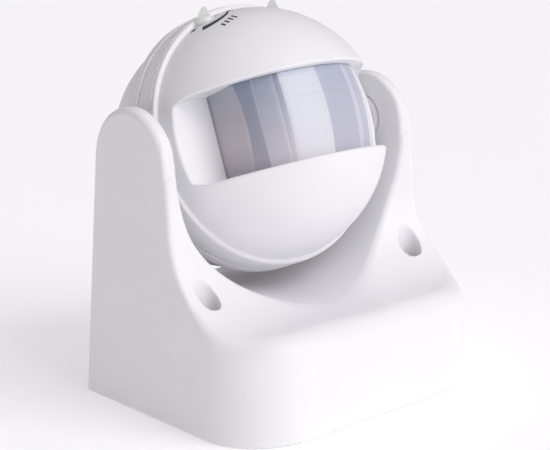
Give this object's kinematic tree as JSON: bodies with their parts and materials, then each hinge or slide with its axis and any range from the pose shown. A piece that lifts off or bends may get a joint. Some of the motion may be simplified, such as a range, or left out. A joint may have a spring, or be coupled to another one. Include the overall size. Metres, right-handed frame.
{
  "type": "motion sensor",
  "caption": "Passive infrared motion sensor: a ball head with a faceted window, tilting between the ears of a yoke-shaped base with a flat mounting face.",
  "frame": {"origin": "centre of the flat mounting face of the base", "axes": "+X from one ear to the other, -Y the way the lens looks, +Z away from the mounting face"},
  "size_m": [0.08, 0.0808, 0.0983],
  "materials": {
    "white_plastic": "satin moulded",
    "plate_plastic": "matt moulded",
    "seal_rubber": "matt",
    "washer_rubber": "matt",
    "screw_steel": "zinc plated",
    "clamp_brass": "machined",
    "terminal_plastic": "matt moulded",
    "bush_plastic": "smooth",
    "lead_sheath": "satin sleeve",
    "lens_plastic": "translucent satin",
    "knob_plastic": "translucent satin",
    "board_laminate": "lacquered laminate",
    "sensor_can": "plated",
    "sensor_window": "polished",
    "cell_resin": "glazed",
    "led_resin": "clear tinted",
    "relay_case": "moulded",
    "film_case": "moulded",
    "capacitor_sleeve": "shrunk sleeve",
    "chip_resin": "moulded",
    "resistor_lacquer": "lacquered",
    "varistor_lacquer": "dipped",
    "trimmer_case": "moulded"
  },
  "bodies": {
    "base": {"base_housing": "white_plastic", "mounting_plate": "plate_plastic", "base_seal": "seal_rubber", "cable_grommet": "seal_rubber", "housing_screws": "screw_steel", "terminal_block": "terminal_plastic", "terminal_clamps": "clamp_brass", "terminal_screws": "screw_steel", "terminal_fixing_screws": "screw_steel", "pivot_bushes": "bush_plastic", "lower_lead": "lead_sheath"},
    "head": {"head_front_shell": "white_plastic", "head_rear_shell": "white_plastic", "shell_screws": "screw_steel", "friction_washers": "washer_rubber", "fresnel_lens": "lens_plastic", "lens_frame": "plate_plastic", "knob_seals": "seal_rubber", "circuit_board": "board_laminate", "board_screws": "screw_steel", "pir_spacer": "plate_plastic", "pir_sensor": "sensor_can", "pir_window": "sensor_window", "light_cell": "cell_resin", "status_led": "led_resin", "relay": "relay_case", "film_capacitor": "film_case", "electrolytic_capacitors": "capacitor_sleeve", "control_chip": "chip_resin", "voltage_regulator": "chip_resin", "rectifier_diodes": "chip_resin", "resistors": "resistor_lacquer", "surge_varistor": "varistor_lacquer", "lux_trimmer": "trimmer_case", "time_trimmer": "trimmer_case", "lead_plug": "terminal_plastic", "upper_lead": "lead_sheath"},
    "lux_dial": {"lux_knob": "knob_plastic"},
    "time_dial": {"time_knob": "knob_plastic"}
  },
  "joints": [
    {"name": "head_tilt", "type": "hinge", "parent": "base", "child": "head", "pos_m": [0, 0.007, 0.0645], "axis": [-1, 0, 0], "range_deg": [-63.5, 116.5]},
    {"name": "lux_knob_turn", "type": "hinge", "parent": "head", "child": "lux_dial", "pos_m": [-0.01095, 0.01244, 0.09431], "axis": [0, 0.3173, 0.9483], "range_deg": [-135, 135]},
    {"name": "time_knob_turn", "type": "hinge", "parent": "head", "child": "time_dial", "pos_m": [0.01095, 0.01244, 0.09431], "axis": [0, 0.3173, 0.9483], "range_deg": [-135, 135]}
  ]
}
